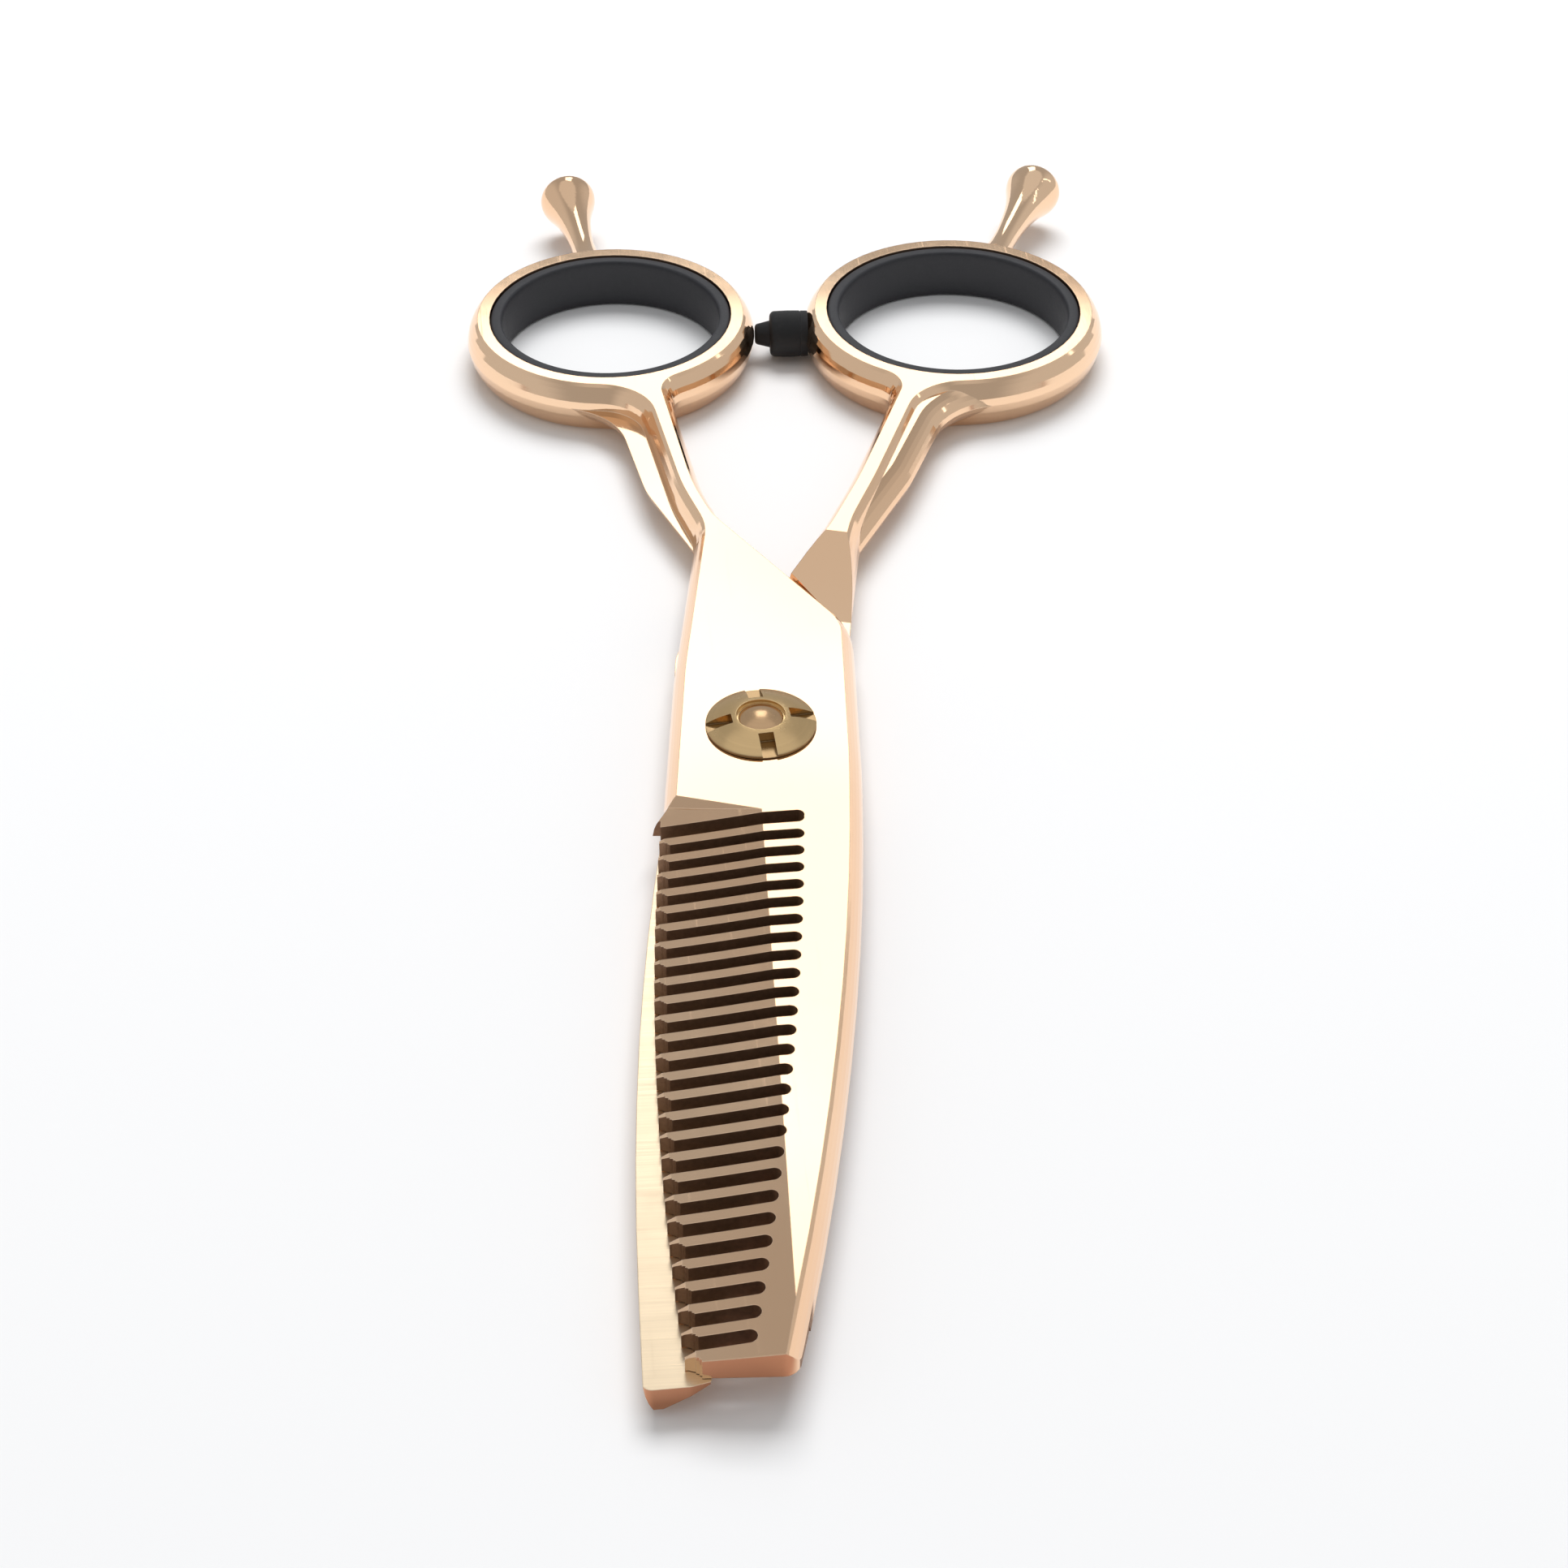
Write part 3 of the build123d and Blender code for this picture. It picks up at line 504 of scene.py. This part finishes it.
def satinGold(name, look, tone, ringScale):
    mat, tree, shader = makePrincipled(name)
    place = coordinates(tree).outputs["Object"]
    edge = useGroup(tree, edgeWear, Vector=place, Width=look["edgeWidth"], Chatter=look["edgeChatter"])
    cloud = useGroup(tree, handlingSmudges, Vector=place, Size=look["smudgeSize"], Low=0.45, High=0.7)
    # turning marks: fine rings round the pivot axis
    xyz = split(tree, place)
    radius = mathNode(tree, "SQRT", mathNode(tree, "ADD", mathNode(tree, "POWER", xyz[0], 2.0),
                                              mathNode(tree, "POWER", xyz[1], 2.0)))
    reach = addNode(tree, "ShaderNodeCombineXYZ")
    tree.links.new(radius, reach.inputs["X"])
    tree.links.new(mathNode(tree, "MULTIPLY", xyz[2], look["ringStep"]), reach.inputs["Y"])
    rings = noise(tree, reach.outputs[0], ringScale, 3.0, 0.7)
    ringed = mathNode(tree, "MULTIPLY", rings, look["ringShare"])
    colour = mixColour(tree, ringed, tone, darker(tone, look["ringDeep"]))
    colour = mixColour(tree, edge.outputs["Mask"], colour, look["goldWorn"])
    # painted shade: darker low down, in the dial's slots and towards the blade
    low = ramp(tree, xyz[2], look["dialShadeTop"] * mm, look["dialShadeFull"] * mm)
    colour = mixColour(tree, mathNode(tree, "MULTIPLY", low, look["dialShadeShare"]), colour, look["dialShade"])
    rough = mathNode(tree, "MULTIPLY_ADD", cloud.outputs["Mask"], look["smudgeRough"], look["satin"])
    rough = mathNode(tree, "MULTIPLY_ADD", rings, look["ringRough"], rough)
    tree.links.new(colour, shader.inputs["Base Color"])
    tree.links.new(rough, shader.inputs["Roughness"])
    relief = bumped(tree, rings, look["ringBump"], 0.00002, edge.outputs["Normal"])
    tree.links.new(relief, shader.inputs["Normal"])
    shader.inputs["Metallic"].default_value = 1.0
    return mat


rubberLook = {
    "tone": (0.018, 0.019, 0.024),
    "dust": (0.055, 0.056, 0.062),
    "rough": 0.42,
    "grain": 5200.0,
    "grainRough": 0.12,
    "grainBump": 0.25,
    "smudgeSize": 260.0,
    "smudgeRough": 0.15,
    "smudgeDust": 0.3,
    "edgeDust": 0.5,
    "edgeWidth": 0.00015,
}

bumperTone = {"tone": (0.008, 0.008, 0.009), "rough": 0.5}      # blacker and duller than the liners


def mouldedRubber(name, look, sheen):
    mat, tree, shader = makePrincipled(name)
    place = coordinates(tree).outputs["Object"]
    cloud = useGroup(tree, handlingSmudges, Vector=place, Size=look["smudgeSize"], Low=0.5, High=0.8)
    edge = useGroup(tree, edgeWear, Vector=place, Width=look["edgeWidth"], Chatter=1500.0)
    grain = noise(tree, place, look["grain"], 2.0, 0.6)
    dusty = mathNode(tree, "ADD", mathNode(tree, "MULTIPLY", cloud.outputs["Mask"], look["smudgeDust"]),
                     mathNode(tree, "MULTIPLY", edge.outputs["Mask"], look["edgeDust"]), clamp=True)
    colour = mixColour(tree, dusty, look["tone"], look["dust"])
    rough = mathNode(tree, "MULTIPLY_ADD", cloud.outputs["Mask"], look["smudgeRough"], look["rough"])
    rough = mathNode(tree, "MULTIPLY_ADD", grain, look["grainRough"], rough)
    tree.links.new(colour, shader.inputs["Base Color"])
    tree.links.new(rough, shader.inputs["Roughness"])
    tree.links.new(bumped(tree, grain, look["grainBump"], 0.00003), shader.inputs["Normal"])
    shader.inputs["Specular IOR Level"].default_value = sheen
    return mat


innerLook = {
    "springSteel": (0.52, 0.52, 0.54),
    "sinteredBronze": (0.52, 0.33, 0.16),
    "nylonTone": (0.72, 0.71, 0.66),
}


def turnedPart(name, tone, metallic, rough, grainScale):
    # small hidden pieces: fine grain and a little tone change
    mat, tree, shader = makePrincipled(name)
    place = coordinates(tree).outputs["Object"]
    cloud = useGroup(tree, handlingSmudges, Vector=place, Size=500.0, Low=0.4, High=0.7)
    grain = noise(tree, place, grainScale, 3.0, 0.7)
    colour = mixColour(tree, cloud.outputs["Mask"], tone, darker(tone, 0.7))
    tree.links.new(colour, shader.inputs["Base Color"])
    tree.links.new(mathNode(tree, "MULTIPLY_ADD", grain, 0.2, rough), shader.inputs["Roughness"])
    tree.links.new(bumped(tree, grain, 0.15, 0.00002), shader.inputs["Normal"])
    shader.inputs["Metallic"].default_value = metallic
    return mat


toothedSteel = polishedSteel("rose_gold_toothed", steelLook, 84.0, comb=combShadeLook)
plainSteel = polishedSteel("rose_gold_plain", steelLook, 84.0, ride=ridePaintedHighlightLook)
restSteel = polishedSteel("rose_gold_rest", steelLook, 0.0)
dialGold = satinGold("dial_satin_gold", dialLook, dialLook["gold"], 3500.0)
studGold = satinGold("stud_rose_gold", dialLook, dialLook["studGold"], 4500.0)
linerRubber = mouldedRubber("ring_liner_rubber", rubberLook, 0.5)
bumperRubber = mouldedRubber("bumper_rubber", {**rubberLook, **bumperTone}, 0.35)
springSteel = turnedPart("spring_steel", innerLook["springSteel"], 1.0, 0.25, 4000.0)
bushBronze = turnedPart("sintered_bronze", innerLook["sinteredBronze"], 1.0, 0.4, 6000.0)
washerNylon = turnedPart("washer_nylon", innerLook["nylonTone"], 0.0, 0.4, 3000.0)
print("materials built")

dressing = {
    "plain_half": plainSteel,
    "toothed_half": toothedSteel,
    "plain_finger_rest": restSteel,
    "toothed_finger_rest": restSteel,
    "tension_dial": dialGold,
    "pivot_stud": studGold,
    "plain_ring_insert": linerRubber,
    "toothed_ring_insert": linerRubber,
    "bumper": bumperRubber,
    "bumper_stud": springSteel,
    "wave_spring": springSteel,
    "thrust_washer": springSteel,
    "pivot_bush": bushBronze,
    "friction_washer": washerNylon,
    "dial_lock_ring": washerNylon,
}


def dressNodes(finishes):
    for name, finish in finishes.items():
        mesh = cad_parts[name].data
        mesh.materials.clear()
        mesh.materials.append(finish)


dressNodes(dressing)
print("nodes dressed")


def surfaceMesh(name, points, material, sharpDeg=40.0):
    # points[i, j]: a closed path of sections; i goes round the section, j round the turn, both close
    rows, columns = points.shape[:2]
    i, j = np.meshgrid(np.arange(rows), np.arange(columns), indexing="ij")
    nextI, nextJ = (i + 1) % rows, (j + 1) % columns
    quads = np.stack([i * columns + j, nextI * columns + j, nextI * columns + nextJ, i * columns + nextJ], -1)
    quads = quads.reshape(-1, 4)
    flat = points.reshape(-1, 3)
    a, b, c, d = (flat[quads[:, k]] for k in range(4))
    volume = np.sum(a * np.cross(b, c)) + np.sum(a * np.cross(c, d))
    if volume < 0:
        quads = quads[:, ::-1]           # outwards
    mesh = bpy.data.meshes.new(name)
    mesh.from_pydata(flat.tolist(), [], quads.tolist())
    work = bmesh.new()
    work.from_mesh(mesh)
    bmesh.ops.remove_doubles(work, verts=work.verts, dist=2e-7)      # closes the poles
    bmesh.ops.delete(work, geom=[edge for edge in work.edges if not edge.link_faces], context="EDGES")
    work.to_mesh(mesh)
    work.free()
    mesh.polygons.foreach_set("use_smooth", np.ones(len(mesh.polygons), dtype=bool))
    mesh.set_sharp_from_angle(angle=math.radians(sharpDeg))
    mesh.materials.append(material)
    mesh.update()
    obj = bpy.data.objects.new(name, mesh)
    bpy.context.scene.collection.objects.link(obj)
    return obj


def putInPlace(obj, body, node):
    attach(obj, body)
    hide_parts(node)


def nodeBox(node):
    low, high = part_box(node)
    return np.array(low), np.array(high)


liner = {
    "fit": 0.43,             # mm, the retaining rib's reach past the liner's own outside
    "wall": 1.23,
    "corner": 0.34,          # 0 square corners, 1 an oval section
    "waist": 0.10,           # mm, how far the inner wall is hollowed at mid height
    "partingRidge": 0.025,
    "partingWidth": 0.07,
    "sectionSteps": 72,
    "turnSteps": 200,
}


def makeLiner(name, node, body, spec):
    # section: a superellipse, r = middle + half wall * |cos|^corner,
    # z = middle + half height * |sin|^corner, its inner side hollowed by a cosine waist,
    # with a thin raised parting line; then turned about z
    low, high = nodeBox(node)
    centre = 0.5 * (low + high)
    outer = 0.5 * (high[0] - low[0]) - spec["fit"] * mm
    halfWall = 0.5 * spec["wall"] * mm
    halfHeight = 0.5 * (high[2] - low[2])
    t = np.linspace(0, 2 * np.pi, spec["sectionSteps"], endpoint=False)
    squared = spec["corner"]
    across = np.sign(np.cos(t)) * np.abs(np.cos(t)) ** squared
    up = np.sign(np.sin(t)) * np.abs(np.sin(t)) ** squared
    inner = np.clip(-across, 0, 1)
    radius = outer - halfWall + halfWall * across
    radius = radius + inner * spec["waist"] * mm * np.cos(0.5 * np.pi * up)
    parting = np.exp(-(up * halfHeight / (spec["partingWidth"] * mm)) ** 2)
    radius = radius - inner * spec["partingRidge"] * mm * parting
    turn = np.linspace(0, 2 * np.pi, spec["turnSteps"], endpoint=False)
    points = np.stack([
        centre[0] + radius[:, None] * np.cos(turn)[None, :],
        centre[1] + radius[:, None] * np.sin(turn)[None, :],
        np.broadcast_to((centre[2] + halfHeight * up)[:, None], (len(t), len(turn))),
    ], -1)
    putInPlace(surfaceMesh(name, points, linerRubber), body, node)


makeLiner("toothed_liner", "toothed_ring_insert", "toothed_blade_side", liner)
makeLiner("plain_liner", "plain_ring_insert", "plain_blade_side", liner)
print("ring liners made")

bumperShape = {
    "seat": 13.65,           # mm from the plain ring's centre
    "length": 4.94,
    "noseLength": 1.4,
    "radius": 2.15,
    "belly": 0.05,           # the barrel is this much slimmer at its two ends
    "noseBase": 1.25,
    "noseTip": 0.9,
    "shoulderRound": 0.5,
    "tipRound": 0.35,
    "grooveAt": 0.62,        # moulded groove near the seat
    "grooveWidth": 0.14,
    "grooveDepth": 0.07,
    "grooveFlank": 0.05,
    "smallRound": 0.03,
    "seatRound": 0.06,
    "bellyRound": 6.0,
    "noseRound": 0.12,
    "coreRadius": 0.91,
    "coreDepth": 1.95,
    "turnSteps": 96,
    "cornerSteps": 8,
}


def roundedPath(corners, rounds, steps):
    # polyline whose corners are tangent arcs: centre on the bisector, swept between the tangent points
    path = [corners[:1]]
    for k in range(1, len(corners) - 1):
        before = corners[k - 1] - corners[k]
        after = corners[k + 1] - corners[k]
        before = before / np.linalg.norm(before)
        after = after / np.linalg.norm(after)
        if rounds[k] == 0:
            path.append(corners[k:k + 1])
            continue
        half = 0.5 * math.acos(float(np.clip(before @ after, -1, 1)))
        reach = rounds[k] / math.tan(half)
        start, end = corners[k] + before * reach, corners[k] + after * reach
        bisector = (before + after) / np.linalg.norm(before + after)
        middle = corners[k] + bisector * rounds[k] / math.sin(half)
        share = np.linspace(0, 1, steps + 1)[:, None]
        spread = np.pi - 2 * half
        swept = np.sin((1 - share) * spread) * (start - middle) + np.sin(share * spread) * (end - middle)
        path.append(middle + swept / math.sin(spread))
    path.append(corners[-1:])
    return np.concatenate(path)


def makeBumper(spec):
    # profile (distance along the axis, radius), turned about the line that joins the two ring centres
    lowPlain, highPlain = nodeBox("plain_ring_insert")
    lowToothed, highToothed = nodeBox("toothed_ring_insert")
    start, end = 0.5 * (lowPlain + highPlain), 0.5 * (lowToothed + highToothed)
    axis = (end - start) / np.linalg.norm(end - start)
    side = np.array([-axis[1], axis[0], 0.0])
    barrel = spec["length"] - spec["noseLength"]
    edge = spec["radius"] - spec["belly"]
    groove = spec["radius"] - spec["grooveDepth"]
    g0, g1 = spec["grooveAt"], spec["grooveAt"] + spec["grooveWidth"]
    flank = spec["grooveFlank"]
    small = spec["smallRound"]
    # distance along the axis, radius, rounding
    corners = np.array([
        (spec["coreDepth"], 0.0, 0.0),
        (spec["coreDepth"], spec["coreRadius"], 0.0),
        (0.0, spec["coreRadius"], 0.0),
        (0.0, edge, spec["seatRound"]),
        (g0, edge + 0.02, small),
        (g0 + flank, groove, small),
        (g1 - flank, groove, small),
        (g1, edge + 0.03, small),
        (0.55 * barrel, spec["radius"], spec["bellyRound"]),
        (barrel, edge, spec["shoulderRound"]),
        (barrel, spec["noseBase"], spec["noseRound"]),
        (spec["length"], spec["noseTip"], spec["tipRound"]),
        (spec["length"], 0.0, 0.0),
    ])
    profile = roundedPath(corners[:, :2], corners[:, 2], spec["cornerSteps"]) * mm
    turn = np.linspace(0, 2 * np.pi, spec["turnSteps"], endpoint=False)
    ring = np.cos(turn)[:, None] * side + np.sin(turn)[:, None] * np.array([0.0, 0.0, 1.0])
    along = start + axis * (spec["seat"] * mm + profile[:, 0])[:, None]
    points = along[:, None, :] + profile[:, 1][:, None, None] * ring[None, :, :]
    obj = surfaceMesh("rubber_bumper", points, bumperRubber)
    putInPlace(obj, "plain_blade_side", "bumper")


makeBumper(bumperShape)
print("bumper made")

spring = {
    "waves": 3,
    "rise": 0.03,            # mm, half the height of a wave
    "innerRadius": 2.62,
    "sectionRound": 0.03,
    "turnSteps": 240,
}


def makeWaveSpring(spec):
    # flat ring section, its height following rise * cos(waves * angle) round the pivot
    low, high = nodeBox("wave_spring")
    inner, outer = spec["innerRadius"] * mm, high[0]
    tuck = spec["sectionRound"] * mm
    section = np.array([
        (inner, low[2] + tuck), (inner + tuck, low[2]), (outer - tuck, low[2]), (outer, low[2] + tuck),
        (outer, high[2] - tuck), (outer - tuck, high[2]), (inner + tuck, high[2]), (inner, high[2] - tuck),
    ])
    turn = np.linspace(0, 2 * np.pi, spec["turnSteps"], endpoint=False)
    wave = spec["rise"] * mm * np.cos(spec["waves"] * turn)
    points = np.stack([
        section[:, :1] * np.cos(turn)[None, :],
        section[:, :1] * np.sin(turn)[None, :],
        section[:, 1:] + wave[None, :],
    ], -1)
    obj = surfaceMesh("waved_spring", points, springSteel)
    putInPlace(obj, "toothed_blade_side", "wave_spring")


makeWaveSpring(spring)
print("wave spring made")
